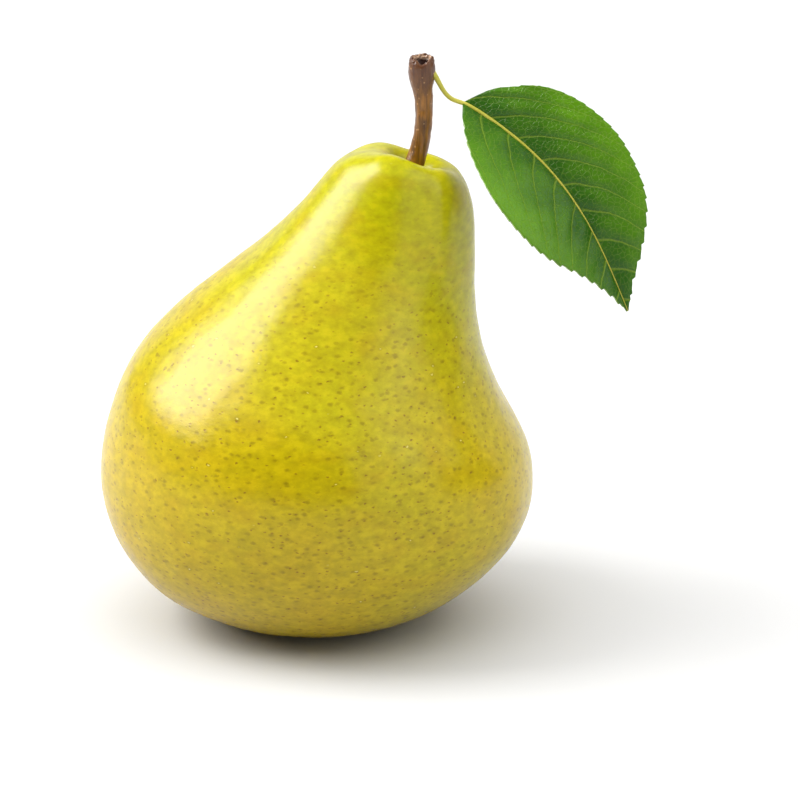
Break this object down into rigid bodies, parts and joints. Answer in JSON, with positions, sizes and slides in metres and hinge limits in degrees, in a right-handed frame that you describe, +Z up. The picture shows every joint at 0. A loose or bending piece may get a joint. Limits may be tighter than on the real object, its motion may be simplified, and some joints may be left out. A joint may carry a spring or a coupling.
{
  "type": "pear",
  "caption": "Whole ripe pear standing on its base, its neck leaning to one side, with a woody stem, a green leaf on its stalk and the dried flower in the basin underneath.",
  "frame": {"origin": "centre of the bounding box in plan, at the height of the surface that the pear stands on", "axes": "+Z up; +X the way the neck leans and the leaf hangs; -Y towards the side that shows the leaf's upper face"},
  "size_m": [0.0978, 0.079, 0.1046],
  "materials": {
    "pear_skin": "ripe yellow-green pear skin, waxy and satin, with fine brown and green dots",
    "stem_bark": "smooth woody brown bark with small pale pores and a broken tan end",
    "leaf_green": "fresh green leaf, satin upper face, paler dull lower face, yellow-green veins",
    "dried_sepal": "dry, curled, dark brown and matt",
    "dried_stamen": "dry, thread-like, tan and matt"
  },
  "bodies": {
    "root": {"fruit": "pear_skin", "stem": "stem_bark", "leaf": "leaf_green", "sepal_1": "dried_sepal", "sepal_2": "dried_sepal", "sepal_3": "dried_sepal", "sepal_4": "dried_sepal", "sepal_5": "dried_sepal", "stamen_tuft": "dried_stamen"}
  },
  "joints": []
}
